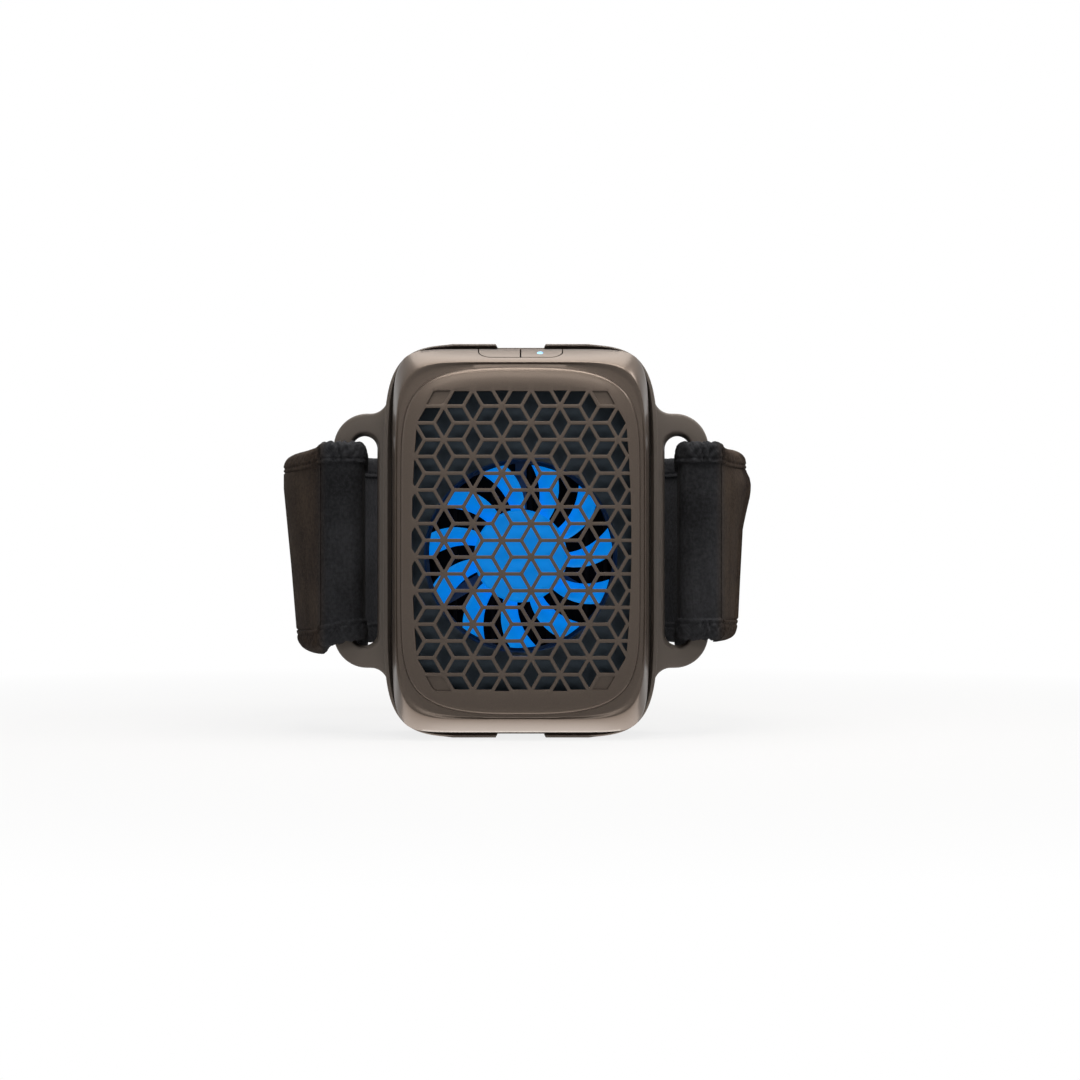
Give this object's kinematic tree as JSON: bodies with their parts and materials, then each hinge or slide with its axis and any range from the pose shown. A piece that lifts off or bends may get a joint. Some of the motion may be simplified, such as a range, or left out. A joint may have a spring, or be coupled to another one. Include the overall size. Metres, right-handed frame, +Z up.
{
  "type": "hot cold therapy machine",
  "caption": "Wearable hot and cold therapy unit: rounded housing with a rhombus grille over a blue fan, two top buttons, a contact plate at the back and an elastic strap.",
  "frame": {"origin": "on the ground below the middle of the whole object, strap included", "axes": "+X to the viewer's right when the grille faces the viewer, +Y from the grille to the contact plate and the strap, +Z up"},
  "size_m": [0.1324, 0.114, 0.1042],
  "materials": {
    "bronze": "bronze metallic lacquer over moulded plastic, satin",
    "shell": "dark taupe moulded plastic with a soft satin coat",
    "slate": "slate grey moulded plastic, matt",
    "fan_blue": "bright blue moulded plastic, semi-gloss",
    "steel": "plated steel",
    "brass": "sintered bearing bronze",
    "copper": "lacquered copper winding on its core",
    "aluminium": "extruded and black anodised",
    "plate": "bead blasted and anodised, silver grey",
    "ceramic": "white alumina",
    "pad": "grey thermal pad",
    "foam": "closed-cell foam, black",
    "rubber": "black silicone, matt",
    "cell": "blue shrink film",
    "board": "green solder mask",
    "light": "pale blue light guide, polished",
    "strap": "black knitted elastic with bound edges",
    "hook": "black hook tape"
  },
  "bodies": {
    "housing": {"front_bezel": "bronze", "grille_panel": "bronze", "fan_shroud": "slate", "fan_bearing": "brass", "fan_stator": "copper", "motor_bracket": "slate", "heat_sink": "aluminium", "cooling_module_upper": "ceramic", "cooling_module_lower": "ceramic", "thermal_pad_upper": "pad", "thermal_pad_lower": "pad", "insulation_frame": "foam", "contact_plate": "plate", "plate_seal": "rubber", "rear_shell": "shell", "battery_upper": "cell", "battery_lower": "cell", "main_board": "board", "port_board": "board", "button_board": "board", "charge_port": "steel", "mode_switch": "steel", "power_switch": "steel", "housing_screw_1": "steel", "housing_screw_2": "steel", "housing_screw_3": "steel", "housing_screw_4": "steel", "strap_band": "strap"},
    "fan": {"fan_rotor": "fan_blue", "fan_shaft": "steel"},
    "mode_button": {"mode_button": "bronze"},
    "power_button": {"power_button": "bronze", "light_guide": "light"},
    "right_tab": {"strap_tab_right": "strap", "hook_patch_right": "hook"},
    "left_tab": {"strap_tab_left": "strap", "hook_patch_left": "hook"}
  },
  "joints": [
    {"name": "fan_spin", "type": "hinge", "parent": "housing", "child": "fan", "pos_m": [0, -0.0502, 0.0481], "axis": [0, 1, 0], "continuous": true},
    {"name": "mode_press", "type": "slide", "parent": "housing", "child": "mode_button", "axis": [0, 0.3272, -0.9449], "range_m": [0, 0.00025], "stiffness_N_per_m": 2000},
    {"name": "power_press", "type": "slide", "parent": "housing", "child": "power_button", "axis": [0, 0.3272, -0.9449], "range_m": [0, 0.00025], "stiffness_N_per_m": 2000},
    {"name": "right_tab_peel", "type": "hinge", "parent": "housing", "child": "right_tab", "pos_m": [0.05386, -0.0369, 0.0521], "axis": [0, 0, -1], "range_deg": [0, 70]},
    {"name": "left_tab_peel", "type": "hinge", "parent": "housing", "child": "left_tab", "pos_m": [-0.05386, -0.0369, 0.0521], "axis": [0, 0, 1], "range_deg": [0, 70]}
  ]
}
